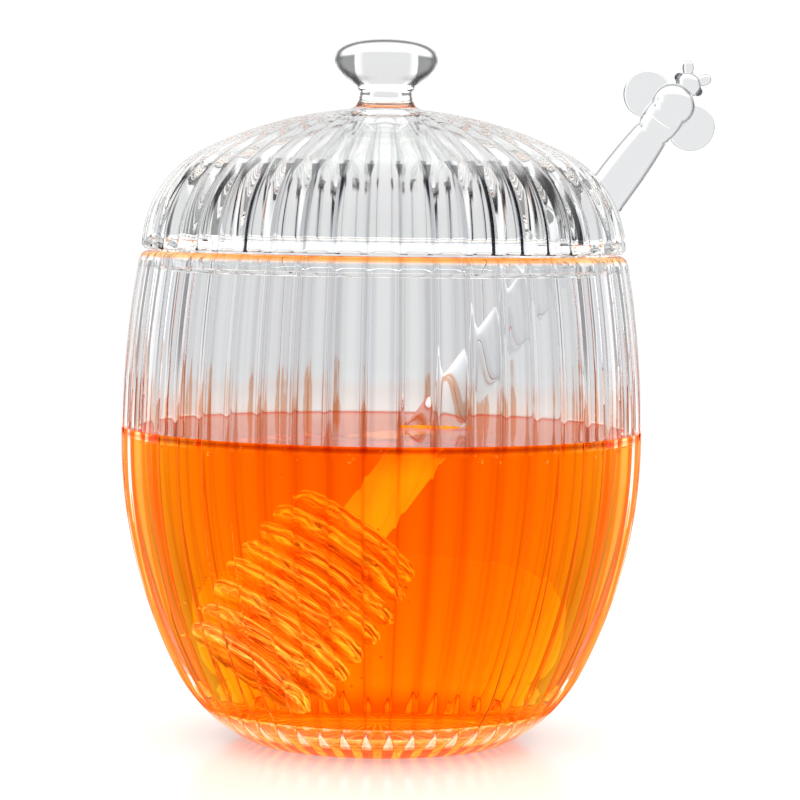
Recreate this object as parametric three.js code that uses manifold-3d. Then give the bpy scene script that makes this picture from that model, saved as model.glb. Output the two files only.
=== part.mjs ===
// A ribbed glass honey pot with its domed glass lid, a glass dipper whose stem ends in a small bee, and honey.
// Millimetres, +Z up. The origin is the centre of the flat foot. -Y is the front, and the stem leans to +X.
import * as THREE from "three";
import { mergeVertices } from "three/addons/utils/BufferGeometryUtils.js";
import Module from "manifold-3d";

// Driving dimensions. Radii of ribbed walls are measured over the crests of the ribs.
const CLEARANCE = 0.3; // between pieces that touch in the real object
const OVERCUT = 1; // how far a cut reaches past the face that it opens
const RIB_COUNT = 48;
const RIB_DEPTH = 1.1; // crest to valley

const POT = {
  bellyRadius: 50,
  bellyHeight: 58, // height of the widest place
  lowerArc: 98, // radius of the side below the belly, seen in section
  upperArc: 195, // the same above the belly
  heelArc: 30, // radius of the turn from the side into the foot
  footRadius: 25.5,
  rimHeight: 93.7,
  shoulderArc: 2.2, // rounding outside the rim
  wall: 3,
  floorHeight: 4, // thickness of the base
  cornerHeight: 5.4, // above the floor the wall's inner face starts here
  cornerEdge: 6.75, // the flat floor ends this far inside that place
  cornerBend: new THREE.Vector2(2, 1.5), // the corner bends this far inside it and above the floor
  ribsStart: 1, // height where the ribs begin
  ribsFull: 6, // height where they have their whole depth
};
const HONEY_LEVEL = 59.6;

const LID = {
  bottom: POT.rimHeight + CLEARANCE,
  radius: 46.5,
  sideArc: 21.5, // radius of the side of the dome, seen in section
  apex: 121.4,
  wall: 3,
  edgeArc: 0.9, // rounding of the bottom edge
  edgeRibs: 0.6, // share of the rib depth under the bottom edge
  flangeDepth: 4.2, // the ring that reaches into the mouth
  flangeWall: 2.4,
  flangeChamfer: 0.5,
  webOuterHeight: 3, // the web that joins the ring to the dome, at the dome and at the ring
  webInnerHeight: 1,
};
const KNOB = {
  neckRadius: 5.1,
  ledgeRadius: 5.6,
  ledge: 125.1,
  neckLength: 1, // the neck ends this far under the ledge, and half of it is straight
  flareRadius: 6.9, // where the neck spreads into the dome
  flareWaist: 5.6,
  flareDepth: 0.7, // the flare starts this far under the dome's top
  root: 1, // how far the flare reaches down into the dome
  // Radius and height over the knob's cone, its widest place and its round top.
  outline: [[6.5, 126.3], [8.3, 127.5], [9.5, 128.6], [9.9, 130.4], [9.5, 132], [7.9, 133.6], [4.4, 134.6], [0, 134.9]],
};

const DIPPER = {
  headCentre: new THREE.Vector3(-13.7, -6.3, 27.6),
  axis: new THREE.Vector3(0.578, 0.23, 0.783),
  front: new THREE.Vector3(0, -1, 0), // the bee faces this way
  headLength: 34,
  ringCount: 8,
  ringThickness: 2.7,
  ringRadius: 15.4, // of the middle rings
  endRingRadius: 13.2,
  ringSlant: 0.5, // the rings are thicker at the core than at the edge
  barrel: 0.9, // how round the head is: 0 keeps all rings the same, 1 is a half circle
  coreRadius: 6.2,
  dishRadius: 8.5, // shallow hollow in the lower end
  dishDepth: 2,
  dishSlope: 2, // how far the side of the hollow slopes inwards
  stemRadius: 4.8, // where it leaves the head
  stemTipRadius: 4.2,
  stemLength: 102.3, // from the head's centre to the start of the rounded tip
  neckRadius: 4.1, // of the rod from there to the bee
  neckEndRadius: 2.5,
  neckStraight: 0.75, // share of the neck that doesn't taper
};
const BEE = {
  place: 118.7, // body centre, along the stem from the head's centre
  forward: 1.2,
  bodyRadius: 4.1,
  bodyHalfLength: 6.9,
  chestRadius: 4.3,
  chestRise: 3.4,
  wingRadius: 4.5,
  wingHalfThickness: 1.2,
  wingChamfer: 0.6,
  wingSpread: 5.5,
  wingRise: 2.2,
  headRadius: 2.6,
  headRise: 8.5,
  eyeRadius: 0.9,
  eyeOut: 2.34, // eye centre, from the middle of the head
  feelerRadius: 0.8,
  feelerLength: 3.2,
  feelerRoot: 2, // where the feeler leaves the head, from its centre
  feelerTilt: 0.62, // radians outwards
};
const NOTCH = {
  halfWidth: 5.8,
  top: 108.4,
  below: 2, // how far the cut reaches under the lid's ring
  inner: 26.5, // where it starts, from the axis
  length: 30,
  aimHeight: 5, // the slot is centred on the stem at this height above the lid's edge
};

const RIB_STEPS = 3; // flat faces to one rib: the first starts in a valley
const RIBBED_SEGMENTS = RIB_COUNT * RIB_STEPS;
const PLAIN_SEGMENTS = RIB_COUNT;
const DIPPER_SEGMENTS = 16;
const KNOB_SEGMENTS = 24;

const wasm = await Module();
wasm.setup();

// A closed geometry as a solid that can be joined and cut.
function solidOf(geometry) {
  const bare = geometry.clone();
  bare.deleteAttribute("normal");
  bare.deleteAttribute("uv");
  const merged = mergeVertices(bare, 1e-4);
  const triangles = new Uint32Array(merged.index.array);
  const flat = { numProp: 3, vertProperties: merged.attributes.position.array, triVerts: triangles };
  return new wasm.Manifold(new wasm.Mesh(flat));
}

// A solid as a named mesh.
function meshOf(name, solid, material) {
  const { numProp, vertProperties, triVerts } = solid.getMesh();
  const places = new Float32Array((vertProperties.length / numProp) * 3);
  for (let i = 0; i < places.length / 3; i++) {
    places.set(vertProperties.subarray(i * numProp, i * numProp + 3), i * 3);
  }
  const geometry = new THREE.BufferGeometry();
  geometry.setAttribute("position", new THREE.BufferAttribute(places, 3));
  geometry.setIndex(new THREE.BufferAttribute(triVerts, 1));
  geometry.computeVertexNormals();
  const mesh = new THREE.Mesh(geometry, material);
  mesh.name = name;
  return mesh;
}

// Points on an arc in section: x is the radius from the axis, y the height. The first point is left out.
function arc(centre, radius, from, to, steps) {
  const points = [];
  for (let i = 1; i <= steps; i++) {
    const angle = from + ((to - from) * i) / steps;
    points.push(new THREE.Vector2(centre.x + radius * Math.cos(angle), centre.y + radius * Math.sin(angle)));
  }
  return points;
}

// How far the wall falls back from the crest line at an azimuth: round ribs that meet in sharp valleys.
function ribDrop(azimuth) {
  const turn = (azimuth / (2 * Math.PI)) * RIB_COUNT;
  const fromCrest = turn - Math.round(turn);
  return RIB_DEPTH * (2 * fromCrest) ** 2;
}

// A section turned about +Z. ribShare(point) is how much of the rib depth the wall has there, 0 to 1.
function turned(section, segments, ribShare = null) {
  const geometry = new THREE.LatheGeometry(section, segments);
  const place = geometry.attributes.position;
  const azimuthStep = (2 * Math.PI) / segments;
  const azimuthStart = ribShare ? Math.PI / RIB_COUNT : 0;
  for (let ring = 0; ring <= segments; ring++) {
    for (let j = 0; j < section.length; j++) {
      const azimuth = azimuthStart + (ring % segments) * azimuthStep;
      const drop = ribShare ? ribShare(section[j]) * ribDrop(azimuth) : 0;
      const radius = Math.max(section[j].x - drop, 0);
      const index = ring * section.length + j;
      place.setXYZ(index, radius * Math.cos(azimuth), radius * Math.sin(azimuth), section[j].y);
    }
  }
  const solid = solidOf(geometry);
  if (solid.volume() > 0) return solid;
  return solidOf(flipped(geometry));
}

// The same geometry with its faces turned round.
function flipped(geometry) {
  const copy = geometry.clone();
  const order = copy.index.array;
  for (let i = 0; i < order.length; i += 3) [order[i], order[i + 1]] = [order[i + 1], order[i]];
  return copy;
}

// Where two circles in section meet, on the side with the larger height.
function circlesMeet(a, radiusA, b, radiusB) {
  const apart = a.distanceTo(b);
  const along = (radiusA ** 2 - radiusB ** 2 + apart ** 2) / (2 * apart);
  const aside = Math.sqrt(radiusA ** 2 - along ** 2);
  const unit = b.clone().sub(a).divideScalar(apart);
  const foot = a.clone().addScaledVector(unit, along);
  const one = new THREE.Vector2(foot.x - unit.y * aside, foot.y + unit.x * aside);
  const other = new THREE.Vector2(foot.x + unit.y * aside, foot.y - unit.x * aside);
  return one.y > other.y ? one : other;
}

// The pot's side in section, moved inwards by inset: heel, lower side, upper side up to a height.
function potSide(inset, topHeight, steps) {
  const lowerCentre = new THREE.Vector2(POT.bellyRadius - POT.lowerArc, POT.bellyHeight);
  const upperCentre = new THREE.Vector2(POT.bellyRadius - POT.upperArc, POT.bellyHeight);
  const footEdge = new THREE.Vector2(POT.footRadius, 0);
  const heelCentre = circlesMeet(lowerCentre, POT.lowerArc - POT.heelArc, footEdge, POT.heelArc);
  const footAngle = Math.atan2(footEdge.y - heelCentre.y, footEdge.x - heelCentre.x);
  const joinAngle = Math.atan2(heelCentre.y - lowerCentre.y, heelCentre.x - lowerCentre.x);
  const topAngle = Math.asin((topHeight - POT.bellyHeight) / (POT.upperArc - inset));
  return [
    ...arc(heelCentre, POT.heelArc - inset, footAngle, joinAngle, steps.heel),
    ...arc(lowerCentre, POT.lowerArc - inset, joinAngle, 0, steps.lower),
    ...arc(upperCentre, POT.upperArc - inset, 0, topAngle, steps.upper),
  ];
}

// The pot: ribbed outside, smooth inside, flat under the foot, rounded at the rim.
function potSolid() {
  const shoulderHeight = POT.rimHeight - POT.shoulderArc;
  const side = potSide(0, shoulderHeight, { heel: 2, lower: 4, upper: 2 });
  const shoulder = new THREE.Vector2(side.at(-1).x - POT.shoulderArc, shoulderHeight);
  const outside = [
    new THREE.Vector2(0, 0),
    new THREE.Vector2(POT.footRadius, 0),
    ...side,
    ...arc(shoulder, POT.shoulderArc, 0, Math.PI / 2, 2),
    new THREE.Vector2(0, POT.rimHeight),
  ];
  const share = (point) => {
    const fromFoot = THREE.MathUtils.smoothstep(point.y, POT.ribsStart, POT.ribsFull);
    const fromRim = point.y >= POT.rimHeight ? 0 : 1;
    return fromFoot * fromRim;
  };
  const inside = potInside(POT.wall, POT.floorHeight, POT.rimHeight + OVERCUT);
  return turned(outside, RIBBED_SEGMENTS, share).subtract(turned(inside, PLAIN_SEGMENTS));
}

// The section of what the pot holds, up to a height: the wall's inner face, a round floor corner, a flat floor.
function potInside(inset, floorHeight, topHeight) {
  const side = potSide(inset, topHeight, { heel: 4, lower: 4, upper: 2 });
  const above = side.filter((point) => point.y > floorHeight + POT.cornerHeight);
  const corner = above[0];
  const floorEdge = new THREE.Vector2(corner.x - POT.cornerEdge, floorHeight);
  const middle = new THREE.Vector2(corner.x - POT.cornerBend.x, floorHeight + POT.cornerBend.y);
  return [new THREE.Vector2(0, floorHeight), floorEdge, middle, ...above, new THREE.Vector2(0, above.at(-1).y)];
}

// The dome of the lid in section, moved inwards by inset, from its foot to the axis.
function domeSection(inset, steps) {
  const sideCentre = new THREE.Vector2(LID.radius - LID.sideArc, LID.bottom);
  const rise = LID.apex - LID.bottom;
  // The top arc touches the side arc and is level at the axis.
  const topArc = (LID.sideArc ** 2 - sideCentre.x ** 2 - rise ** 2) / (2 * (LID.sideArc - rise));
  const topCentre = new THREE.Vector2(0, LID.apex - topArc);
  const joinAngle = Math.atan2(sideCentre.y - topCentre.y, sideCentre.x);
  const foot = new THREE.Vector2(LID.radius - inset, LID.bottom);
  return [
    foot,
    ...arc(sideCentre, LID.sideArc - inset, 0, joinAngle, steps.side),
    ...arc(topCentre, topArc - inset, joinAngle, Math.PI / 2, steps.top),
  ];
}

// The lid: ribbed dome, the ring under it, the knob on top and the slot for the stem, in one piece.
function lidSolid() {
  const dome = domeSection(0, { side: 3, top: 3 });
  const edge = new THREE.Vector2(LID.radius - LID.edgeArc, LID.bottom);
  dome[0].y = LID.bottom + LID.edgeArc;
  const outside = [new THREE.Vector2(0, LID.bottom), edge, ...dome];
  const share = (point) => (point.y > LID.bottom ? Math.min(point.x / LID.radius, 1) : LID.edgeRibs);
  const inside = domeSection(LID.wall, { side: 3, top: 2 });
  const below = LID.bottom - OVERCUT;
  const hollow = [new THREE.Vector2(0, below), new THREE.Vector2(inside[0].x, below), ...inside];
  const flangeOuter = potInside(POT.wall, POT.floorHeight, POT.rimHeight).at(-2).x - 2 * CLEARANCE;
  const flangeInner = flangeOuter - LID.flangeWall;
  const flangeBottom = LID.bottom - LID.flangeDepth;
  const shoulder = LID.radius - LID.wall / 2;
  const ring = [
    new THREE.Vector2(flangeInner, flangeBottom),
    new THREE.Vector2(flangeOuter - LID.flangeChamfer, flangeBottom),
    new THREE.Vector2(flangeOuter, flangeBottom + LID.flangeChamfer),
    new THREE.Vector2(flangeOuter, LID.bottom),
    new THREE.Vector2(shoulder, LID.bottom),
    new THREE.Vector2(shoulder, LID.bottom + LID.webOuterHeight),
    new THREE.Vector2(flangeInner, LID.bottom + LID.webInnerHeight),
    new THREE.Vector2(flangeInner, flangeBottom),
  ];
  return turned(outside, RIBBED_SEGMENTS, share)
    .subtract(turned(hollow, PLAIN_SEGMENTS))
    .add(turned(ring, PLAIN_SEGMENTS))
    .add(turned(knobSection(), KNOB_SEGMENTS))
    .subtract(notchSolid());
}

// The knob in section: a low round head over a cone, a small ledge, a neck that flares into the dome.
function knobSection() {
  const flareHeight = LID.apex - KNOB.flareDepth;
  return [
    new THREE.Vector2(0, flareHeight - KNOB.root),
    new THREE.Vector2(KNOB.flareRadius, flareHeight - KNOB.root),
    new THREE.Vector2(KNOB.flareRadius, flareHeight),
    new THREE.Vector2(KNOB.flareWaist, flareHeight + KNOB.root),
    new THREE.Vector2(KNOB.neckRadius, KNOB.ledge - KNOB.neckLength),
    new THREE.Vector2(KNOB.neckRadius, KNOB.ledge - KNOB.neckLength / 2),
    new THREE.Vector2(KNOB.ledgeRadius, KNOB.ledge),
    ...KNOB.outline.map(([radius, height]) => new THREE.Vector2(radius, height)),
  ];
}

// The slot that the stem passes through: round at the top, open below, cut straight out through the wall.
function notchSolid() {
  const bottom = LID.bottom - LID.flangeDepth - NOTCH.below;
  const round = NOTCH.top - NOTCH.halfWidth;
  const shape = new THREE.Shape();
  shape.moveTo(-NOTCH.halfWidth, bottom);
  shape.lineTo(NOTCH.halfWidth, bottom);
  shape.lineTo(NOTCH.halfWidth, round);
  shape.absarc(0, round, NOTCH.halfWidth, 0, Math.PI, false);
  shape.lineTo(-NOTCH.halfWidth, bottom);
  const slot = new THREE.ExtrudeGeometry(shape, { depth: NOTCH.length, bevelEnabled: false, curveSegments: 5 });
  // The shape's own height becomes +Z, and the extrusion runs outwards along the stem's azimuth.
  const outwards = stemAzimuthPoint(LID.bottom + NOTCH.aimHeight);
  const azimuth = Math.atan2(outwards.y, outwards.x);
  const across = new THREE.Vector3(-Math.sin(azimuth), Math.cos(azimuth), 0);
  const up = new THREE.Vector3(0, 0, 1);
  const away = new THREE.Vector3().crossVectors(across, up);
  const start = away.clone().multiplyScalar(NOTCH.inner);
  const place = new THREE.Matrix4().makeBasis(across, up, away).setPosition(start);
  return solidOf(slot.applyMatrix4(place));
}

// The point of the stem's axis at a height.
function stemAzimuthPoint(height) {
  const axis = DIPPER.axis.clone().normalize();
  const along = (height - DIPPER.headCentre.z) / axis.z;
  return DIPPER.headCentre.clone().addScaledVector(axis, along);
}

// The place of the dipper: its own +Z runs up the stem and its own +Y is the side the bee shows.
function dipperPlace() {
  const axis = DIPPER.axis.clone().normalize();
  const side = new THREE.Vector3().crossVectors(DIPPER.front, axis).normalize();
  const front = new THREE.Vector3().crossVectors(axis, side);
  return new THREE.Matrix4().makeBasis(side, front, axis).setPosition(DIPPER.headCentre);
}

// Radius of one ring of the head, counted from the lower end: a barrel.
function ringRadius(index) {
  const fromMiddle = (2 * index) / (DIPPER.ringCount - 1) - 1;
  const atEnd = Math.sqrt(1 - DIPPER.barrel);
  const bulge = (Math.sqrt(1 - DIPPER.barrel * fromMiddle ** 2) - atEnd) / (1 - atEnd);
  return DIPPER.endRingRadius + (DIPPER.ringRadius - DIPPER.endRingRadius) * bulge;
}

// The dipper's rings and stem in section about its own axis, grown all round by grow.
function dipperSection(grow, tipHeight) {
  const start = -DIPPER.headLength / 2;
  const pitch = (DIPPER.headLength - DIPPER.ringThickness) / (DIPPER.ringCount - 1);
  const core = DIPPER.coreRadius + grow;
  const section = [
    new THREE.Vector2(0, start + DIPPER.dishDepth - grow),
    new THREE.Vector2(DIPPER.dishRadius - DIPPER.dishSlope - grow, start + DIPPER.dishDepth - grow),
    new THREE.Vector2(DIPPER.dishRadius - grow, start - grow),
  ];
  for (let ring = 0; ring < DIPPER.ringCount; ring++) {
    const low = start + ring * pitch - grow;
    const high = low + DIPPER.ringThickness + 2 * grow;
    const radius = ringRadius(ring) + grow;
    if (ring > 0) section.push(new THREE.Vector2(core, low));
    section.push(new THREE.Vector2(radius, low + DIPPER.ringSlant));
    section.push(new THREE.Vector2(radius, high - DIPPER.ringSlant));
    section.push(new THREE.Vector2(ring + 1 < DIPPER.ringCount ? core : DIPPER.stemRadius + grow, high));
  }
  section.push(new THREE.Vector2(DIPPER.stemTipRadius + grow, tipHeight));
  return section;
}

// The dipper without its bee, for the pocket that it makes in the honey.
function dipperPocket() {
  const section = dipperSection(CLEARANCE, DIPPER.stemLength);
  section.push(new THREE.Vector2(0, DIPPER.stemLength));
  return turned(section, DIPPER_SEGMENTS);
}

// A ball, stretched along the dipper's own axes and moved.
function ball(halfWidth, halfDepth, halfHeight, x, y, z, columns = 12, rows = 8) {
  const geometry = new THREE.SphereGeometry(1, columns, rows);
  geometry.rotateX(Math.PI / 2);
  geometry.scale(halfWidth, halfDepth, halfHeight);
  geometry.translate(x, y, z);
  return solidOf(geometry);
}

// The bee on the end of the stem: body and chest, two round wings, head, two eyes and two feelers.
function beeSolid() {
  const body = BEE.place;
  const head = body + BEE.headRise;
  let bee = ball(BEE.bodyRadius, BEE.bodyRadius, BEE.bodyHalfLength, 0, BEE.forward, body);
  bee = bee.add(ball(BEE.chestRadius, BEE.chestRadius, BEE.chestRadius, 0, BEE.forward, body + BEE.chestRise));
  bee = bee.add(ball(BEE.headRadius, BEE.headRadius, BEE.headRadius, 0, BEE.forward, head, 10, 8));
  for (const side of [-1, 1]) {
    const wing = [
      new THREE.Vector2(0, -BEE.wingHalfThickness),
      new THREE.Vector2(BEE.wingRadius - BEE.wingChamfer, -BEE.wingHalfThickness),
      new THREE.Vector2(BEE.wingRadius, 0),
      new THREE.Vector2(BEE.wingRadius - BEE.wingChamfer, BEE.wingHalfThickness),
      new THREE.Vector2(0, BEE.wingHalfThickness),
    ];
    // A wing is a thick disc that faces the front.
    const facing = new THREE.Matrix4().makeRotationX(Math.PI / 2);
    const spot = new THREE.Matrix4().makeTranslation(side * BEE.wingSpread, 0, body + BEE.wingRise);
    const disc = turned(wing, 16);
    bee = bee.add(disc.transform(spot.multiply(facing).elements));
    bee = bee.add(ball(BEE.eyeRadius, BEE.eyeRadius, BEE.eyeRadius, side * BEE.eyeOut, BEE.forward, head, 8, 6));
    const feeler = new THREE.CapsuleGeometry(BEE.feelerRadius, BEE.feelerLength, 2, 8);
    feeler.rotateX(Math.PI / 2);
    feeler.translate(0, 0, BEE.feelerLength / 2 + BEE.feelerRoot);
    feeler.rotateY(side * BEE.feelerTilt);
    feeler.translate(0, BEE.forward, head);
    bee = bee.add(solidOf(feeler));
  }
  return bee;
}

// The dipper: rings and stem with a round tip, joined to the bee.
function dipperSolid() {
  const section = dipperSection(0, DIPPER.stemLength);
  const tip = new THREE.Vector2(0, DIPPER.stemLength);
  const stem = turned([...section, ...arc(tip, DIPPER.stemTipRadius, 0, Math.PI / 2, 3)], DIPPER_SEGMENTS);
  const reach = BEE.place - DIPPER.stemLength;
  const neck = turned(
    [
      new THREE.Vector2(0, DIPPER.stemLength - OVERCUT),
      new THREE.Vector2(DIPPER.neckRadius, DIPPER.stemLength - OVERCUT),
      new THREE.Vector2(DIPPER.neckRadius, DIPPER.stemLength + reach * DIPPER.neckStraight),
      new THREE.Vector2(DIPPER.neckEndRadius, DIPPER.stemLength + reach),
      new THREE.Vector2(0, DIPPER.stemLength + reach),
    ],
    DIPPER_SEGMENTS,
  );
  return stem.add(neck).add(beeSolid());
}

// The honey: what the pot holds up to the level, less the room that the dipper takes.
function honeySolid() {
  const section = potInside(POT.wall + CLEARANCE, POT.floorHeight + CLEARANCE, HONEY_LEVEL);
  return turned(section, PLAIN_SEGMENTS).subtract(dipperPocket().transform(dipperPlace().elements));
}

const clearGlass = new THREE.MeshStandardMaterial({ color: 0xe9eeee, roughness: 0.03, metalness: 0 });
clearGlass.transparent = true;
clearGlass.opacity = 0.35;
const dipperGlass = new THREE.MeshStandardMaterial({ color: 0xf1f3f2, roughness: 0.04, metalness: 0 });
dipperGlass.transparent = true;
dipperGlass.opacity = 0.5;
const honey = new THREE.MeshStandardMaterial({ color: 0xff7f0a, roughness: 0.12, metalness: 0 });

const honeyPot = new THREE.Group();
honeyPot.add(meshOf("pot", potSolid(), clearGlass));
honeyPot.add(meshOf("lid", lidSolid(), clearGlass));
honeyPot.add(meshOf("honey", honeySolid(), honey));
const leaning = new THREE.Group();
leaning.applyMatrix4(dipperPlace());
leaning.add(meshOf("dipper", dipperSolid(), dipperGlass));
honeyPot.add(leaning);

export default honeyPot;
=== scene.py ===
import random
from math import acos, asin, atan2, cos, hypot, pi, radians, sin, sqrt

import bmesh
import bpy
from mathutils import Matrix, Vector


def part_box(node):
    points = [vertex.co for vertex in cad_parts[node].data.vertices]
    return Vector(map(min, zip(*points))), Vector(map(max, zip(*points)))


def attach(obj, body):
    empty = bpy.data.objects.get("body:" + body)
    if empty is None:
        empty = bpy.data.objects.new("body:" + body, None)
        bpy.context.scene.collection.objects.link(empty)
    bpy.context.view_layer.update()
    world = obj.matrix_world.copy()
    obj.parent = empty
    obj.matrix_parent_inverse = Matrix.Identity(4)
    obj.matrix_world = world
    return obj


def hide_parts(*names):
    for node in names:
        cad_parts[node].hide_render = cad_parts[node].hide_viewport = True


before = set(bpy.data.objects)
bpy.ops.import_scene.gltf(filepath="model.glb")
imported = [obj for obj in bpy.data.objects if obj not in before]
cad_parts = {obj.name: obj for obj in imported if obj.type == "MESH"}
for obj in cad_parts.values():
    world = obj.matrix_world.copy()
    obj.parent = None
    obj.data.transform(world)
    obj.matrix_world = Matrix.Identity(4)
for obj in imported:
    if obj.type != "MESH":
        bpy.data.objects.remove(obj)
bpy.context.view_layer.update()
mm = 0.001


# The pot is pressed from clear borosilicate glass: 48 round ribs outside, a smooth wall inside,
# a heavy base and a fire-polished rim. The mould leaves the ribs running from foot to rim.
rib_count = 48
rib_depth = 1.1 * mm
pot_rib_fullness = 12.0
pot_rim_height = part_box("pot")[1].z
belly_radius = 50 * mm
belly_height = 58 * mm
lower_side_arc = 98 * mm
upper_side_arc = 195 * mm
heel_arc = 30 * mm
foot_radius = 25.5 * mm
shoulder_arc = 2.2 * mm
lip_arc = 0.8 * mm
pot_wall = 3 * mm
base_thickness = 4 * mm
floor_corner_arc = 8 * mm
around_ribs = 16 * rib_count
groove_end = 2.2 * mm
groove_runout = 4.6 * mm
valley_floor = 0.94
valley_softness = 0.12


def arc(centre, radius, start, end, steps):
    """Points on an arc in section, as (distance from the axis, height), without the first one."""
    angles = [start + (end - start) * i / steps for i in range(1, steps + 1)]
    return [(centre[0] + radius * cos(a), centre[1] + radius * sin(a)) for a in angles]


def circle_crossing(a, radius_a, b, radius_b):
    """The higher of the two points where two circles in section cross."""
    apart = hypot(b[0] - a[0], b[1] - a[1])
    along = (radius_a**2 - radius_b**2 + apart**2) / (2 * apart)
    aside = sqrt(radius_a**2 - along**2)
    ux, uy = (b[0] - a[0]) / apart, (b[1] - a[1]) / apart
    foot = (a[0] + ux * along, a[1] + uy * along)
    return max((foot[0] - uy * s, foot[1] + ux * s) for s in (aside, -aside))


def pot_side(inset, top, rows):
    """The pot's side in section from heel to a height, moved inwards; rows are heel, lower and upper."""
    lower = (belly_radius - lower_side_arc, belly_height)
    upper = (belly_radius - upper_side_arc, belly_height)
    heel = circle_crossing(lower, lower_side_arc - heel_arc, (foot_radius, 0), heel_arc)
    foot_angle = atan2(-heel[1], foot_radius - heel[0])
    join_angle = atan2(heel[1] - lower[1], heel[0] - lower[0])
    top_angle = asin((top - belly_height) / (upper_side_arc - inset))
    side = arc(heel, heel_arc - inset, foot_angle, join_angle, rows[0])
    side += arc(lower, lower_side_arc - inset, join_angle, 0, rows[1])
    return side + arc(upper, upper_side_arc - inset, 0, top_angle, rows[2])


def pot_inside(inset, floor, top, rows):
    """The inner face in section from the floor's middle to a height: floor, round corner, side."""
    side = [p for p in pot_side(inset, top, rows) if p[1] > floor + 0.72 * floor_corner_arc]
    corner_x, corner_z = side[0]
    centre = (corner_x - floor_corner_arc * 0.94, floor + floor_corner_arc)
    end = atan2(corner_z - centre[1], corner_x - centre[0])
    corner = arc(centre, floor_corner_arc, -pi / 2, end, 10)[:-1]
    floor_rings = [(centre[0] * share, floor) for share in (0, 0.05, 0.35, 0.7, 1)]
    return floor_rings + corner + side


def turned(name, section, columns, shares=None):
    """A section turned about +Z into a closed mesh. shares says how much of the ribs each point takes."""
    points = []
    faces = []
    share_of_point = []
    first = []
    for row, (radius, height) in enumerate(section):
        first.append(len(points))
        count = 1 if radius < 1e-9 else columns
        for column in range(count):
            a = 2 * pi * column / columns
            points.append((radius * cos(a), radius * sin(a), height))
            share_of_point.append(shares[row] if shares else 0.0)
    for row in range(len(section) - 1):
        low, high = first[row], first[row + 1]
        low_pole = section[row][0] < 1e-9
        high_pole = section[row + 1][0] < 1e-9
        for column in range(columns):
            after = (column + 1) % columns
            if low_pole:
                faces.append((low, high + after, high + column))
            elif high_pole:
                faces.append((low + column, low + after, high))
            else:
                faces.append((low + column, low + after, high + after, high + column))
    mesh = bpy.data.meshes.new(name)
    mesh.from_pydata(points, [], faces)
    attribute = mesh.attributes.new("rib_share", "FLOAT", "POINT")
    attribute.data.foreach_set("value", share_of_point)
    return mesh


def face_outwards(mesh):
    """Turns all faces outwards and shades them smooth."""
    shell = bmesh.new()
    shell.from_mesh(mesh)
    bmesh.ops.remove_doubles(shell, verts=shell.verts, dist=1e-7)
    bmesh.ops.recalc_face_normals(shell, faces=shell.faces)
    if shell.calc_volume(signed=True) < 0:
        bmesh.ops.reverse_faces(shell, faces=shell.faces)
    shell.to_mesh(mesh)
    shell.free()
    mesh.polygons.foreach_set("use_smooth", [True] * len(mesh.polygons))


def put_in_scene(name, mesh):
    """A mesh as an object of the scene, at the origin."""
    piece = bpy.data.objects.new(name, mesh)
    bpy.context.scene.collection.objects.link(piece)
    return piece


def made_plain(piece):
    """The piece with its modifiers worked into a plain mesh, and the modifiers gone."""
    bpy.context.view_layer.update()
    depsgraph = bpy.context.evaluated_depsgraph_get()
    mesh = bpy.data.meshes.new_from_object(piece.evaluated_get(depsgraph))
    piece.modifiers.clear()
    piece.data = mesh
    mesh.name = piece.name
    return piece


def node(tree, kind, inputs=None, **settings):
    """Adds a node with its settings. An input takes a value, a socket, or another node's first output."""
    made = tree.nodes.new(kind)
    for setting, value in settings.items():
        setattr(made, setting, value)
    for place, value in (inputs or {}).items():
        if isinstance(value, bpy.types.Node):
            value = value.outputs[0]
        if isinstance(value, bpy.types.NodeSocket):
            tree.links.new(value, made.inputs[place])
        else:
            made.inputs[place].default_value = value
    return made


def linear(code):
    """An sRGB hex colour as linear red, green, blue and alpha."""
    channels = [int(code[i : i + 2], 16) / 255 for i in (1, 3, 5)]
    return [c / 12.92 if c <= 0.04045 else ((c + 0.055) / 1.055) ** 2.4 for c in channels] + [1.0]


def new_material(name):
    """A material with its node tree, its Principled node and its output node."""
    material = bpy.data.materials.new(name)
    material.use_nodes = True
    tree = material.node_tree
    return material, tree, tree.nodes["Principled BSDF"], tree.nodes["Material Output"]


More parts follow.
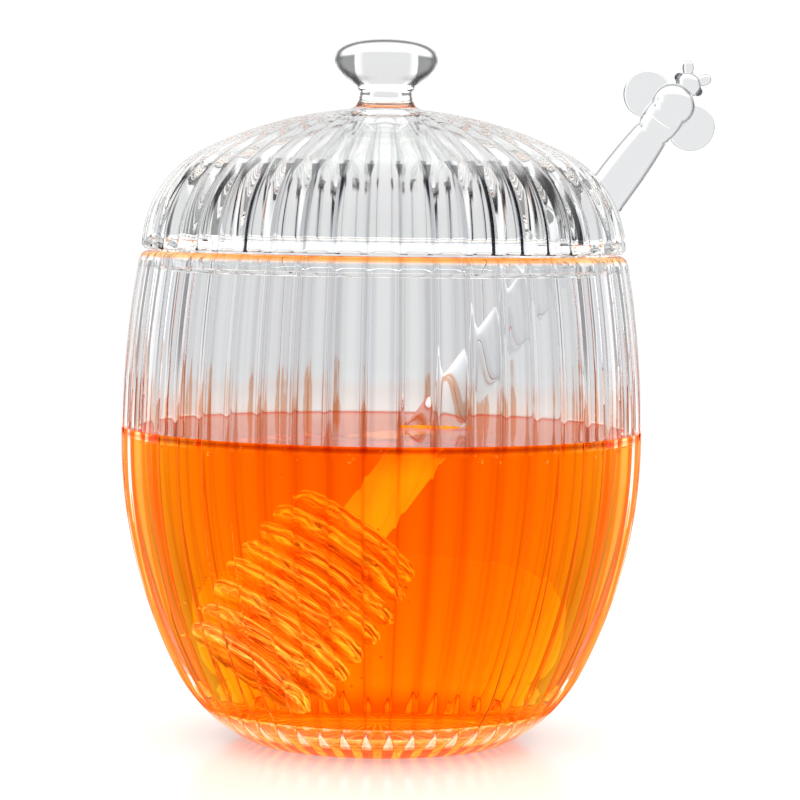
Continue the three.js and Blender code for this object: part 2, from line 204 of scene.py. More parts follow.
def flute_tree():
    """Presses round ribs into a turned wall: a point moves in the more, the nearer it is to a valley."""
    tree = bpy.data.node_groups.new("press_ribs", "GeometryNodeTree")
    face = tree.interface
    face.new_socket("Wall", in_out="INPUT", socket_type="NodeSocketGeometry")
    for size_name in ("Rib Count", "Rib Depth", "Rib Fullness", "Valley Softness"):
        face.new_socket(size_name, in_out="INPUT", socket_type="NodeSocketFloat")
    face.new_socket("Glass", in_out="INPUT", socket_type="NodeSocketMaterial")
    face.new_socket("Wall", in_out="OUTPUT", socket_type="NodeSocketGeometry")
    given = tree.nodes.new("NodeGroupInput")
    place = tree.nodes.new("GeometryNodeInputPosition")
    axes = node(tree, "ShaderNodeSeparateXYZ", {0: place})
    azimuth = node(tree, "ShaderNodeMath",
                   {0: axes.outputs["Y"], 1: axes.outputs["X"]}, operation="ARCTAN2")
    turns = node(tree, "ShaderNodeMath", {0: azimuth, 1: 2 * pi}, operation="DIVIDE")
    ribs = node(tree, "ShaderNodeMath", {0: turns, 1: given.outputs["Rib Count"]}, operation="MULTIPLY")
    nearest = node(tree, "ShaderNodeMath", {0: ribs}, operation="ROUND")
    offset = node(tree, "ShaderNodeMath", {0: ribs, 1: nearest}, operation="SUBTRACT")
    size = node(tree, "ShaderNodeMath", {0: offset}, operation="ABSOLUTE")
    to_valley = node(tree, "ShaderNodeMath", {0: size, 1: 2.0}, operation="MULTIPLY")
    fall = node(tree, "ShaderNodeMath",
                {0: to_valley, 1: given.outputs["Rib Fullness"]}, operation="POWER")
    kept = node(tree, "GeometryNodeStoreNamedAttribute",
                {"Geometry": given.outputs["Wall"], "Name": "between_ribs", "Value": to_valley},
                data_type="FLOAT", domain="POINT")
    # A smooth minimum with nearly 1 rounds off the bottom of each valley.
    valley = node(tree, "ShaderNodeMath",
                  {0: fall, 1: valley_floor, 2: given.outputs["Valley Softness"]},
                  operation="SMOOTH_MIN")
    share = node(tree, "GeometryNodeInputNamedAttribute", {"Name": "rib_share"}, data_type="FLOAT")
    depth = node(tree, "ShaderNodeMath",
                 {0: valley, 1: given.outputs["Rib Depth"]}, operation="MULTIPLY")
    drop = node(tree, "ShaderNodeMath", {0: depth, 1: share.outputs["Attribute"]}, operation="MULTIPLY")
    flat = node(tree, "ShaderNodeCombineXYZ", {0: axes.outputs["X"], 1: axes.outputs["Y"], 2: 0.0})
    outwards = node(tree, "ShaderNodeVectorMath", {0: flat}, operation="NORMALIZE")
    less = node(tree, "ShaderNodeMath", {0: drop, 1: -1.0}, operation="MULTIPLY")
    move = node(tree, "ShaderNodeVectorMath", {0: outwards, "Scale": less}, operation="SCALE")
    pressed = node(tree, "GeometryNodeSetPosition", {"Geometry": kept, "Offset": move})
    real = node(tree, "GeometryNodeRealizeInstances", {0: pressed})
    coated = node(tree, "GeometryNodeSetMaterial",
                  {"Geometry": real, "Material": given.outputs["Glass"]})
    node(tree, "NodeGroupOutput", {0: coated})
    return tree


def press_ribs(piece, fullness, glass):
    """Puts the ribs on a turned wall and leaves a plain mesh."""
    pressing = piece.modifiers.new("press_ribs", "NODES")
    pressing.node_group = rib_tree
    sizes = {
        "Rib Count": float(rib_count),
        "Rib Depth": rib_depth,
        "Rib Fullness": fullness,
        "Valley Softness": valley_softness,
        "Glass": glass,
    }
    for item in rib_tree.interface.items_tree:
        if item.in_out == "INPUT" and item.name in sizes:
            pressing[item.identifier] = sizes[item.name]
    made_plain(piece)
    face_outwards(piece.data)


def clear_glass(name, body_colour, bending, ripple_size, ripple_height):
    """Clear borosilicate glass. The slow ripple of its skin is what a hot mould or a flame leaves."""
    material, tree, shader, _ = new_material(name)
    shader.inputs["Base Color"].default_value = linear(body_colour)
    shader.inputs["Transmission Weight"].default_value = 1.0
    shader.inputs["Roughness"].default_value = 0.0
    shader.inputs["IOR"].default_value = bending
    place = tree.nodes.new("ShaderNodeTexCoord")
    ripple = node(tree, "ShaderNodeTexNoise",
                  {"Vector": place.outputs["Object"], "Scale": 1 / ripple_size, "Detail": 1.0})
    bump = node(tree, "ShaderNodeBump",
                {"Height": ripple.outputs["Fac"], "Strength": 1.0, "Distance": ripple_height})
    tree.links.new(bump.outputs["Normal"], shader.inputs["Normal"])
    return material


def paint_rib_lens_shade(tree, body, rib_side_shade_colour, valley_shade_colour):
    """Painted rib shade: each rib is a weak lens, so its sides get a painted grey shade against its
    crest, and its valley a thin painted dark line.
    """
    valley = node(tree, "ShaderNodeAttribute", attribute_name="between_ribs").outputs["Fac"]
    band = node(tree, "ShaderNodeMapRange",
                {"Value": valley, "From Min": 0.3, "From Max": 0.62, "To Min": 0.0, "To Max": 1.0},
                interpolation_type="SMOOTHSTEP")
    banded = node(tree, "ShaderNodeMix",
                  {"Factor": band, "A": body, "B": linear(rib_side_shade_colour)},
                  data_type="RGBA", blend_type="MULTIPLY")
    line = node(tree, "ShaderNodeMapRange",
                {"Value": valley, "From Min": 0.78, "From Max": 0.98, "To Min": 0.0, "To Max": 1.0},
                interpolation_type="SMOOTHSTEP")
    lined = node(tree, "ShaderNodeMix",
                 {"Factor": line, "A": banded.outputs["Result"], "B": linear(valley_shade_colour)},
                 data_type="RGBA", blend_type="MULTIPLY")
    return lined.outputs["Result"]


def paint_honey_film_and_light(glass, rib_side_shade_colour, valley_shade_colour):
    """The honey's film on the glass above the level, and painted honey light and shade: at the rim, in
    the grooves, at the level and in the base.
    """
    tree = glass.node_tree
    shader = tree.nodes["Principled BSDF"]
    place = tree.nodes.new("ShaderNodeTexCoord")
    parts = node(tree, "ShaderNodeSeparateXYZ", {0: place.outputs["Object"]})
    waver = node(tree, "ShaderNodeTexNoise",
                 {"Vector": place.outputs["Object"], "Scale": 1 / film_waver, "Detail": 2.0})
    valley = node(tree, "ShaderNodeAttribute", attribute_name="between_ribs").outputs["Fac"]
    # The film's edge rises higher in the grooves; that rise is painted honey light, which the valleys
    # bend up from below the level.
    deep = node(tree, "ShaderNodeMapRange",
                {"Value": valley, "From Min": 0.75, "From Max": 1.0,
                 "To Min": 0.0, "To Max": groove_light_rise})
    waver_height = node(tree, "ShaderNodeMath",
                        {0: waver.outputs["Fac"], 1: film_rise}, operation="MULTIPLY")
    film_top = node(tree, "ShaderNodeMath", {0: waver_height, 1: deep}, operation="ADD")
    above = node(tree, "ShaderNodeMath", {0: parts.outputs["Z"], 1: film_top}, operation="SUBTRACT")
    film = node(tree, "ShaderNodeMapRange",
                {"Value": above, "From Min": honey_level + 1 * mm, "From Max": honey_level + 4 * mm,
                 "To Min": film_strength, "To Max": 0.0}, interpolation_type="SMOOTHSTEP")
    wet = node(tree, "ShaderNodeMapRange",
               {"Value": parts.outputs["Z"], "From Min": honey_level - 2 * mm, "From Max": honey_level,
                "To Min": 0.0, "To Max": 1.0})
    film_only = node(tree, "ShaderNodeMath", {0: film, 1: wet}, operation="MULTIPLY")
    # Painted light: a band just under the rim glows with the honey's colour, as the wall pipes the
    # honey's light up to it; it is painted fainter at the back.
    piped_rim_band = node(tree, "ShaderNodeMapRange",
               {"Value": parts.outputs["Z"],
                "From Min": pot_rim_height - 1.5 * mm, "From Max": pot_rim_height - 0.9 * mm,
                "To Min": 0.0, "To Max": piped_rim_strength})
    piped_rim_front = node(tree, "ShaderNodeMapRange",
                     {"Value": parts.outputs["Y"], "From Min": -15 * mm, "From Max": 15 * mm,
                      "To Min": 1.0, "To Max": piped_rim_at_back}, interpolation_type="SMOOTHSTEP")
    rim_piped_light = node(tree, "ShaderNodeMath", {0: piped_rim_band, 1: piped_rim_front}, operation="MULTIPLY")
    # Painted light: the thick base shows the honey's colour from 3 mm up, painted on its glass.
    foot = node(tree, "ShaderNodeMapRange",
                {"Value": parts.outputs["Z"], "From Min": foot_glow_low, "From Max": foot_glow_high,
                 "To Min": foot_glow_strength, "To Max": 0.0})
    film_and_piped_rim = node(tree, "ShaderNodeMath", {0: film_only, 1: rim_piped_light}, operation="MAXIMUM")
    # Painted light: above the level each groove's valley shows the honey below it, painted as a pointed
    # orange tongue.
    tongue_top = node(tree, "ShaderNodeMath",
                      {0: waver.outputs["Fac"], 1: tongue_waver}, operation="MULTIPLY")
    tongue_rise = node(tree, "ShaderNodeMath",
                       {0: parts.outputs["Z"], 1: tongue_top}, operation="SUBTRACT")
    tongue_width = node(tree, "ShaderNodeMapRange",
                        {"Value": tongue_rise,
                         "From Min": honey_level - 12 * mm, "From Max": honey_level - 2 * mm,
                         "To Min": 0.78, "To Max": 1.0})
    tongue = node(tree, "ShaderNodeMath", {0: valley, 1: tongue_width}, operation="SUBTRACT")
    tongue_edge = node(tree, "ShaderNodeMapRange",
                       {"Value": tongue, "From Min": 0.0, "From Max": 0.06,
                        "To Min": 0.0, "To Max": tongue_light_strength})
    groove_tongue_light = node(tree, "ShaderNodeMath", {0: tongue_edge, 1: wet}, operation="MULTIPLY")
    # Painted shade: a thin dark line just under the level, where the honey's edge meets the wall.
    line_above = node(tree, "ShaderNodeMapRange",
                      {"Value": parts.outputs["Z"],
                       "From Min": honey_level - 1.1 * mm, "From Max": honey_level - 0.5 * mm,
                       "To Min": 0.0, "To Max": meniscus_shade_strength})
    line_below = node(tree, "ShaderNodeMath",
                      {0: parts.outputs["Z"], 1: honey_level}, operation="LESS_THAN")
    meniscus_shade_line = node(tree, "ShaderNodeMath", {0: line_above, 1: line_below}, operation="MULTIPLY")
    colour = shader.inputs["Base Color"].default_value[:]
    tints = [(film_and_piped_rim, film_and_piped_rim_colour, "MIX"), (foot, foot_glow_colour, "MIX"), (groove_tongue_light, tongue_light_colour, "MIX"),
             (meniscus_shade_line, meniscus_shade_colour, "MULTIPLY")]
    for share, tint, way in tints:
        tinted = node(tree, "ShaderNodeMix",
                      {"Factor": share, "A": colour, "B": linear(tint)},
                      data_type="RGBA", blend_type=way)
        colour = tinted.outputs["Result"]
    lined = paint_rib_lens_shade(tree, colour, rib_side_shade_colour, valley_shade_colour)
    tree.links.new(lined, shader.inputs["Base Color"])


def paint_foot_window_light(glass):
    """Painted light: the grooves end in small slopes above the foot, which catch the board as pale
    pointed windows; these are painted pale and glowing in a painted dark frame, and the rest of the base
    gets a faint painted orange glow.
    """
    tree = glass.node_tree
    shader = tree.nodes["Principled BSDF"]
    place = tree.nodes.new("ShaderNodeTexCoord")
    parts = node(tree, "ShaderNodeSeparateXYZ", {0: place.outputs["Object"]})
    valley = node(tree, "ShaderNodeAttribute", attribute_name="between_ribs").outputs["Fac"]
    reach = node(tree, "ShaderNodeMapRange",
                 {"Value": parts.outputs["Z"], "From Min": window_low, "From Max": window_high,
                  "To Min": 0.5, "To Max": 1.0})
    inside = node(tree, "ShaderNodeMath", {0: valley, 1: reach}, operation="SUBTRACT")
    pale = node(tree, "ShaderNodeMapRange",
                {"Value": inside, "From Min": 0.0, "From Max": 0.05, "To Min": 0.0, "To Max": 1.0})
    lower_end = node(tree, "ShaderNodeMapRange",
                     {"Value": parts.outputs["Z"],
                      "From Min": groove_end, "From Max": groove_end + 1 * mm,
                      "To Min": 0.0, "To Max": 1.0})
    window_light = node(tree, "ShaderNodeMath", {0: pale, 1: lower_end}, operation="MULTIPLY")
    # Painted shade: a dark frame round each window.
    frame_inner = node(tree, "ShaderNodeMapRange",
                       {"Value": inside, "From Min": -0.09, "From Max": -0.02,
                        "To Min": 0.0, "To Max": 1.0})
    painted_dark = node(tree, "ShaderNodeMath",
                {0: frame_inner, 1: window_light}, operation="SUBTRACT", use_clamp=True)
    body = shader.inputs["Base Color"].links[0].from_socket
    framed = node(tree, "ShaderNodeMix",
                  {"Factor": painted_dark, "A": body, "B": linear("#8A4A20")},
                  data_type="RGBA", blend_type="MULTIPLY")
    opened = node(tree, "ShaderNodeMix",
                  {"Factor": window_light, "A": framed.outputs["Result"], "B": linear("#DEDAE2")},
                  data_type="RGBA")
    tree.links.new(opened.outputs["Result"], shader.inputs["Base Color"])
    # Painted glow: pale in the windows, faintly orange over the rest of the base.
    painted_glow = node(tree, "ShaderNodeMapRange",
                {"Value": window_light, "From Min": 0.0, "From Max": 1.0, "To Min": 0.12, "To Max": 0.34})
    painted_glow_colour = node(tree, "ShaderNodeMix",
                       {"Factor": window_light, "A": linear("#FF9014"), "B": linear("#E4E2F0")},
                       data_type="RGBA")
    tree.links.new(painted_glow_colour.outputs["Result"], shader.inputs["Emission Color"])
    tree.links.new(painted_glow.outputs[0], shader.inputs["Emission Strength"])


def paint_honey_light_at_outline(glass):
    """Painted honey colour and glow near the outline: a full pot looks filled to its outline, because its
    wall bends the honey's light outwards there.
    """
    tree = glass.node_tree
    shader = tree.nodes["Principled BSDF"]
    turned_away = node(tree, "ShaderNodeLayerWeight", {"Blend": 0.5}).outputs["Facing"]
    near_outline = node(tree, "ShaderNodeMapRange",
                        {"Value": turned_away, "From Min": 0.62, "From Max": 0.86,
                         "To Min": 0.0, "To Max": 1.0}, interpolation_type="SMOOTHSTEP")
    body = shader.inputs["Base Color"].links[0].from_socket
    filled = node(tree, "ShaderNodeMix",
                  {"Factor": near_outline, "A": body, "B": linear("#FFA040")}, data_type="RGBA")
    tree.links.new(filled.outputs["Result"], shader.inputs["Base Color"])
    painted_glow = node(tree, "ShaderNodeMath", {0: near_outline, 1: 0.3}, operation="MULTIPLY")
    shader.inputs["Emission Color"].default_value = linear("#FF9038")
    tree.links.new(painted_glow.outputs[0], shader.inputs["Emission Strength"])


rib_tree = flute_tree()
honey_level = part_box("honey")[1].z
base_top = 6.6 * mm
film_strength = 0.14
film_rise = 8 * mm
groove_light_rise = 6 * mm
film_waver = 9 * mm
film_and_piped_rim_colour = "#FF9C30"
piped_rim_strength = 0.95
piped_rim_at_back = 0.12
foot_glow_strength = 1.0
foot_glow_colour = "#FF9018"
foot_glow_low = 3 * mm
foot_glow_high = 7.5 * mm
window_low = 3 * mm
window_high = 6.2 * mm
tongue_light_strength = 0.8
tongue_light_colour = "#E07818"
tongue_waver = 26 * mm
meniscus_shade_strength = 0.7
meniscus_shade_colour = "#A04018"
# Pressed borosilicate has no colour of its own, and the mould's skin ripples over about 12 mm. Its
# bending values are under the real 1.47, because the photograph shows the dipper nearly undistorted.
# Where honey wets the wall the two act as one body, which bends the light least and hardly mirrors.
mould_ripple = 12 * mm
dry_wall = clear_glass("dry_borosilicate_wall", "#FBFCFC", 1.12, mould_ripple, 0.04 * mm)
wetted_wall = clear_glass("honey_wetted_borosilicate_wall", "#FBFCFC", 1.012, mould_ripple, 0.04 * mm)
base_glass = clear_glass("thick_borosilicate_base", "#FBFCFC", 1.3, mould_ripple, 0.04 * mm)
# Each wall gets the honey's film, painted honey light and shade, and painted rib shade. The base also
# gets painted foot windows, and the wetted wall a painted honey glow at its outline.
paint_honey_film_and_light(dry_wall, "#F4F4F6", "#EDEBEA")
paint_honey_film_and_light(wetted_wall, "#FCF7F0", "#F4E0C6")
paint_honey_film_and_light(base_glass, "#FBF8F4", "#F4E0D0")
paint_foot_window_light(base_glass)
paint_honey_light_at_outline(wetted_wall)
for glass, mirroring in ((base_glass, 0.4), (wetted_wall, 0.12)):
    shader = glass.node_tree.nodes["Principled BSDF"]
    shader.inputs["Specular Tint"].default_value = (mirroring, mirroring, mirroring, 1.0)

pot_shoulder_height = pot_rim_height - shoulder_arc
outer_side = pot_side(0, pot_shoulder_height, (20, 26, 16))
shoulder_centre = (outer_side[-1][0] - shoulder_arc, pot_shoulder_height)
shoulder = arc(shoulder_centre, shoulder_arc, 0, pi / 2, 8)
mouth = pot_inside(pot_wall, base_thickness, pot_rim_height, (14, 14, 8))
lip_centre = (mouth[-1][0] + lip_arc, pot_rim_height - lip_arc)
lip = arc(lip_centre, lip_arc, pi / 2, pi, 5)
under_foot = [(0, 0.5 * mm), (3 * mm, 0.5 * mm), (foot_radius - 7 * mm, 0.4 * mm),
              (foot_radius - 3 * mm, 0), (foot_radius, 0)]
inner_side = [point for point in reversed(mouth) if point[1] < pot_rim_height - lip_arc]
pot_section = under_foot + outer_side + shoulder + [(lip_centre[0], pot_rim_height)] + lip + inner_side
rib_shares = []
for row, (radius, height) in enumerate(pot_section):
    outside = len(under_foot) <= row < len(under_foot) + len(outer_side) + len(shoulder)
    rise = min(max((height - groove_end) / groove_runout, 0), 1)
    fade = 1.0
    if height > pot_shoulder_height:
        fade = sqrt(max(1 - ((height - pot_shoulder_height) / shoulder_arc) ** 2, 0))
    rib_shares.append(rise * rise * (3 - 2 * rise) * fade if outside else 0.0)
pot = put_in_scene("glass_pot", turned("glass_pot", pot_section, around_ribs, rib_shares))
press_ribs(pot, pot_rib_fullness, dry_wall)
pot.data.materials.append(wetted_wall)
pot.data.materials.append(base_glass)
for face in pot.data.polygons:
    if face.center.z < base_top:
        face.material_index = 2
    elif face.center.z < honey_level:
        face.material_index = 1
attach(pot, "root")
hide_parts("pot")


# The lid is one pressed piece of the same glass: a ribbed dome with a knob drawn up from its top and
# a smooth ring below that drops into the pot's mouth. A round-topped slot at the right clears the stem.
lid_bottom = pot_rim_height + 0.3 * mm
lid_radius = 46.5 * mm
lid_side_arc = 21.5 * mm
lid_apex = 121.4 * mm
lid_wall = 3 * mm
lid_edge_arc = 0.9 * mm
lid_rib_fullness = 2.4
ring_depth = 4.2 * mm
ring_wall = 1.5 * mm
slot_half_width = 5.8 * mm
slot_top = 108.4 * mm
streak_low = 107.5 * mm
streak_high = 111.5 * mm
wedge_low = 107.6 * mm
wedge_high = 110.2 * mm
wedge_strength = 0.85


def dome(inset, rows, last_radius):
    """The dome in section from its foot up to a small radius, moved inwards."""
    side_centre = (lid_radius - lid_side_arc, lid_bottom)
    rise = lid_apex - lid_bottom
    top_arc = (lid_side_arc**2 - side_centre[0] ** 2 - rise**2) / (2 * (lid_side_arc - rise))
    top_centre = (0, lid_apex - top_arc)
    join = atan2(side_centre[1] - top_centre[1], side_centre[0])
    last = acos(last_radius / (top_arc - inset))
    side = arc(side_centre, lid_side_arc - inset, 0, join, rows[0])
    return side + arc(top_centre, top_arc - inset, join, last, rows[1])


def smooth_run(points, steps):
    """A smooth curve through a few points in section."""
    curve = []
    ends = [points[0]] + points + [points[-1]]
    for i in range(1, len(ends) - 2):
        before, here, there, after = ends[i - 1 : i + 3]
        for step in range(steps):
            t = step / steps
            curve.append(tuple(
                0.5 * (2 * here[k] + (there[k] - before[k]) * t
                       + (2 * before[k] - 5 * here[k] + 4 * there[k] - after[k]) * t**2
                       + (3 * here[k] - before[k] - 3 * there[k] + after[k]) * t**3)
                for k in (0, 1)))
    return curve + [points[-1]]


def paint_dark_side_streaks(glass):
    """Painted reflection: where the dome turns away, some ribs are painted with long black streaks for
    the dark studio they mirror.
    """
    tree = glass.node_tree
    shader = tree.nodes["Principled BSDF"]
    valley = node(tree, "ShaderNodeAttribute", attribute_name="between_ribs").outputs["Fac"]
    place = tree.nodes.new("ShaderNodeTexCoord")
    parts = node(tree, "ShaderNodeSeparateXYZ", {0: place.outputs["Object"]})
    azimuth = node(tree, "ShaderNodeMath",
                   {0: parts.outputs["Y"], 1: parts.outputs["X"]}, operation="ARCTAN2")
    turns = node(tree, "ShaderNodeMath", {0: azimuth, 1: rib_count / (2 * pi)}, operation="MULTIPLY")
    number = node(tree, "ShaderNodeMath", {0: turns}, operation="ROUND")
    chance = node(tree, "ShaderNodeTexWhiteNoise", {"W": number}, noise_dimensions="1D")
    turned_away = node(tree, "ShaderNodeLayerWeight", {"Blend": 0.5}).outputs["Facing"]
    from_side = node(tree, "ShaderNodeMapRange",
                     {"Value": turned_away, "From Min": 0.25, "From Max": 0.34,
                      "To Min": 0.0, "To Max": 1.0}, interpolation_type="SMOOTHSTEP")
    to_edge = node(tree, "ShaderNodeMapRange",
                   {"Value": turned_away, "From Min": 0.75, "From Max": 0.9,
                    "To Min": 1.0, "To Max": 0.0}, interpolation_type="SMOOTHSTEP")
    beside_valley = node(tree, "ShaderNodeMapRange",
                         {"Value": valley, "From Min": 0.56, "From Max": 0.62,
                          "To Min": 0.0, "To Max": 1.0}, interpolation_type="SMOOTHSTEP")
    picked = node(tree, "ShaderNodeMapRange",
                  {"Value": chance.outputs["Value"], "From Min": 0.36, "From Max": 0.44,
                   "To Min": 0.0, "To Max": 1.0}, interpolation_type="SMOOTHSTEP")
    below_top = node(tree, "ShaderNodeMapRange",
                     {"Value": parts.outputs["Z"], "From Min": streak_low, "From Max": streak_high,
                      "To Min": 1.0, "To Max": 0.0}, interpolation_type="SMOOTHSTEP")
    side = node(tree, "ShaderNodeMath", {0: from_side, 1: to_edge}, operation="MULTIPLY")
    turn = node(tree, "ShaderNodeMath", {0: side, 1: below_top}, operation="MULTIPLY")
    ribbed = node(tree, "ShaderNodeMath", {0: beside_valley, 1: picked}, operation="MULTIPLY")
    painted_streak = node(tree, "ShaderNodeMath", {0: turn, 1: ribbed}, operation="MULTIPLY")
    # Painted shade: where the grooves grow shallow near the top, each one ends in a small dark wedge.
    wedge_side = node(tree, "ShaderNodeMapRange",
                      {"Value": parts.outputs["Z"], "From Min": wedge_low, "From Max": wedge_high,
                       "To Min": 1.0, "To Max": 0.72})
    in_wedge = node(tree, "ShaderNodeMath", {0: valley, 1: wedge_side}, operation="GREATER_THAN")
    wedge_top = node(tree, "ShaderNodeMath",
                     {0: parts.outputs["Z"], 1: wedge_high}, operation="LESS_THAN")
    wedge = node(tree, "ShaderNodeMath", {0: in_wedge, 1: wedge_top}, operation="MULTIPLY")
    wedge_shade = node(tree, "ShaderNodeMath", {0: wedge, 1: wedge_strength}, operation="MULTIPLY")
    painted_dark = node(tree, "ShaderNodeMath", {0: painted_streak, 1: wedge_shade}, operation="MAXIMUM")
    body = shader.inputs["Base Color"].links[0].from_socket
    streaked = node(tree, "ShaderNodeMix",
                    {"Factor": painted_dark, "A": body, "B": linear("#020203")}, data_type="RGBA")
    tree.links.new(streaked.outputs["Result"], shader.inputs["Base Color"])


def paint_dark_edge_shade(glass, edge_shade_colour):
    """Painted shade: solid glass bends most near its outline and shows the dark studio there, painted as
    a soft dark ring.
    """
    tree = glass.node_tree
    shader = tree.nodes["Principled BSDF"]
    turned_away = node(tree, "ShaderNodeLayerWeight", {"Blend": 0.5}).outputs["Facing"]
    inner = node(tree, "ShaderNodeMapRange",
                 {"Value": turned_away, "From Min": 0.4, "From Max": 0.62,
                  "To Min": 0.0, "To Max": 1.0}, interpolation_type="SMOOTHSTEP")
    outer = node(tree, "ShaderNodeMapRange",
                 {"Value": turned_away, "From Min": 0.7, "From Max": 0.86,
                  "To Min": 1.0, "To Max": 0.25}, interpolation_type="SMOOTHSTEP")
    ring = node(tree, "ShaderNodeMath", {0: inner, 1: outer}, operation="MULTIPLY")
    ringed = node(tree, "ShaderNodeMix",
                  {"Factor": ring, "A": shader.inputs["Base Color"].default_value[:],
                   "B": linear(edge_shade_colour)}, data_type="RGBA")
    tree.links.new(ringed.outputs["Result"], shader.inputs["Base Color"])


neck_foot_radius = 7.2 * mm
outer_dome = dome(0, (18, 12), neck_foot_radius)
neck = smooth_run([outer_dome[-1], (6.1 * mm, 121.5 * mm), (5.35 * mm, 122.5 * mm),
                   (5.05 * mm, 123.6 * mm), (5.0 * mm, 124.3 * mm)], 3)[1:]
ledge = smooth_run([(5.05 * mm, 124.5 * mm), (5.5 * mm, 124.9 * mm), (5.62 * mm, 125.25 * mm)], 2)
knob = smooth_run([(5.7 * mm, 125.45 * mm), (6.6 * mm, 126.3 * mm), (8.25 * mm, 127.45 * mm),
                   (9.3 * mm, 128.5 * mm), (9.82 * mm, 129.7 * mm), (9.9 * mm, 130.8 * mm),
                   (9.5 * mm, 132.2 * mm), (8.2 * mm, 133.4 * mm), (6.2 * mm, 134.2 * mm),
                   (3.4 * mm, 134.72 * mm), (0.6 * mm, 134.88 * mm)], 3)
knob.append((0, 134.89 * mm))
bottom_edge = arc((lid_radius - lid_edge_arc, lid_bottom + lid_edge_arc), lid_edge_arc, 0, -pi / 2, 5)
ring_outside = mouth[-1][0] - 0.6 * mm
ring_inside = ring_outside - ring_wall
ring_low = lid_bottom - ring_depth
ring_round = 1.1 * mm
ring = [(ring_outside, lid_bottom), (ring_outside, ring_low + ring_round)]
ring += arc((ring_outside - ring_round, ring_low + ring_round), ring_round, 0, -pi / 2, 4)
ring += arc((ring_inside + ring_round, ring_low + ring_round), ring_round, -pi / 2, -pi, 4)
inner_dome = dome(lid_wall, (20, 10), 0.5 * mm)
inner_dome = [point for point in inner_dome if point[1] > lid_bottom + 1.8 * mm]
lid_section = [(0, inner_dome[-1][1])] + inner_dome[::-1]
lid_section += smooth_run([inner_dome[0], ((inner_dome[0][0] + ring_inside) / 2, lid_bottom + 0.9 * mm),
                           (ring_inside, lid_bottom - 0.2 * mm)], 3)[1:]
lid_section += ring[::-1]
lid_section += bottom_edge[::-1] + [(lid_radius, lid_bottom + lid_edge_arc)]
outside_from = len(lid_section)
lid_section += [point for point in outer_dome if point[1] > lid_bottom + 1.3 * lid_edge_arc]
outside_to = len(lid_section)
lid_section += neck + ledge + knob
lid_shares = []
for row, (radius, height) in enumerate(lid_section):
    share = min(radius / lid_radius, 1) if outside_from <= row < outside_to else 0.0
    if outside_from - 7 <= row < outside_from:
        share = 0.35 + 0.65 * (height - lid_bottom) / lid_edge_arc
    lid_shares.append(share * min(max((radius - neck_foot_radius) / (5 * mm), 0), 1))
# The lid's glass is as clear as the pot's. Its knob is solid and gets a painted dark edge, and its ring
# is so thin that it hardly bends the light. The dome gets painted rib shade and painted dark streaks.
pressed_glass = clear_glass("pressed_borosilicate_glass", "#FBFCFC", 1.17, mould_ripple, 0.04 * mm)
knob_glass = clear_glass("solid_borosilicate_knob", "#FBFCFC", 1.2, mould_ripple, 0.03 * mm)
ring_glass = clear_glass("thin_borosilicate_ring", "#FBFCFC", 1.1, mould_ripple, 0.04 * mm)
lid_tree = pressed_glass.node_tree
lid_colour = lid_tree.nodes["Principled BSDF"].inputs["Base Color"]
lid_rib_lens_shade = paint_rib_lens_shade(lid_tree, lid_colour.default_value[:], "#FAFAFB", "#D6D8DC")
lid_tree.links.new(lid_rib_lens_shade, lid_colour)
paint_dark_side_streaks(pressed_glass)
paint_dark_edge_shade(knob_glass, "#242527")
lid = put_in_scene("glass_lid", turned("glass_lid", lid_section, around_ribs, lid_shares))
press_ribs(lid, lid_rib_fullness, pressed_glass)

# The dipper's own place: where the middle of its head is, and which way its stem runs.
head_centre = Vector((-13.7, -6.3, 27.6)) * mm
stem_direction = Vector((0.578, 0.23, 0.783)).normalized()
side_direction = Vector((0, -1, 0)).cross(stem_direction).normalized()
front_direction = stem_direction.cross(side_direction)
dipper_place = Matrix((side_direction, front_direction, stem_direction)).transposed().to_4x4()
dipper_place.translation = head_centre


def slot_cutter():
    """The slot as a block: round above, open below, running straight out through the wall."""
    crossing = head_centre + stem_direction * ((lid_bottom + 5 * mm - head_centre.z) / stem_direction.z)
    azimuth = atan2(crossing.y, crossing.x)
    across = Vector((-sin(azimuth), cos(azimuth), 0))
    away = Vector((cos(azimuth), sin(azimuth), 0))
    round_height = slot_top - slot_half_width
    outline = [(slot_half_width, ring_low - 2 * mm)]
    outline += [(slot_half_width * cos(pi * i / 24), round_height + slot_half_width * sin(pi * i / 24))
                for i in range(25)]
    outline.append((-slot_half_width, ring_low - 2 * mm))
    block = bmesh.new()
    loops = []
    for distance in (lid_radius - 19 * mm, lid_radius + 8 * mm):
        start = away * distance
        loops.append([block.verts.new(across * x + start + Vector((0, 0, z))) for x, z in outline])
    block.faces.new(loops[0])
    block.faces.new(loops[1][::-1])
    for i in range(len(outline)):
        j = (i + 1) % len(outline)
        block.faces.new((loops[0][i], loops[1][i], loops[1][j], loops[0][j]))
    mesh = bpy.data.meshes.new("slot_cutter")
    block.to_mesh(mesh)
    block.free()
    face_outwards(mesh)
    return put_in_scene("slot_cutter", mesh)


def cut_or_join(piece, other, operation):
    """Cuts the other piece out of this one, or joins it on, and drops the other piece."""
    change = piece.modifiers.new(operation.lower(), "BOOLEAN")
    change.operation = operation
    change.solver = "MANIFOLD"
    change.object = other
    made_plain(piece)
    bpy.data.objects.remove(other)


cut_or_join(lid, slot_cutter(), "DIFFERENCE")
lid.data.polygons.foreach_set("use_smooth", [True] * len(lid.data.polygons))
lid.data.set_sharp_from_angle(angle=radians(72))
lid.data.materials.clear()
for glass in (pressed_glass, knob_glass, ring_glass):
    lid.data.materials.append(glass)
for face in lid.data.polygons:
    from_axis = hypot(face.center.x, face.center.y)
    if face.center.z > lid_apex:
        face.material_index = 1
    elif face.center.z < lid_bottom + 1.8 * mm and from_axis < lid_radius - 2.2 * mm:
        face.material_index = 2
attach(lid, "root")
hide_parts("lid")


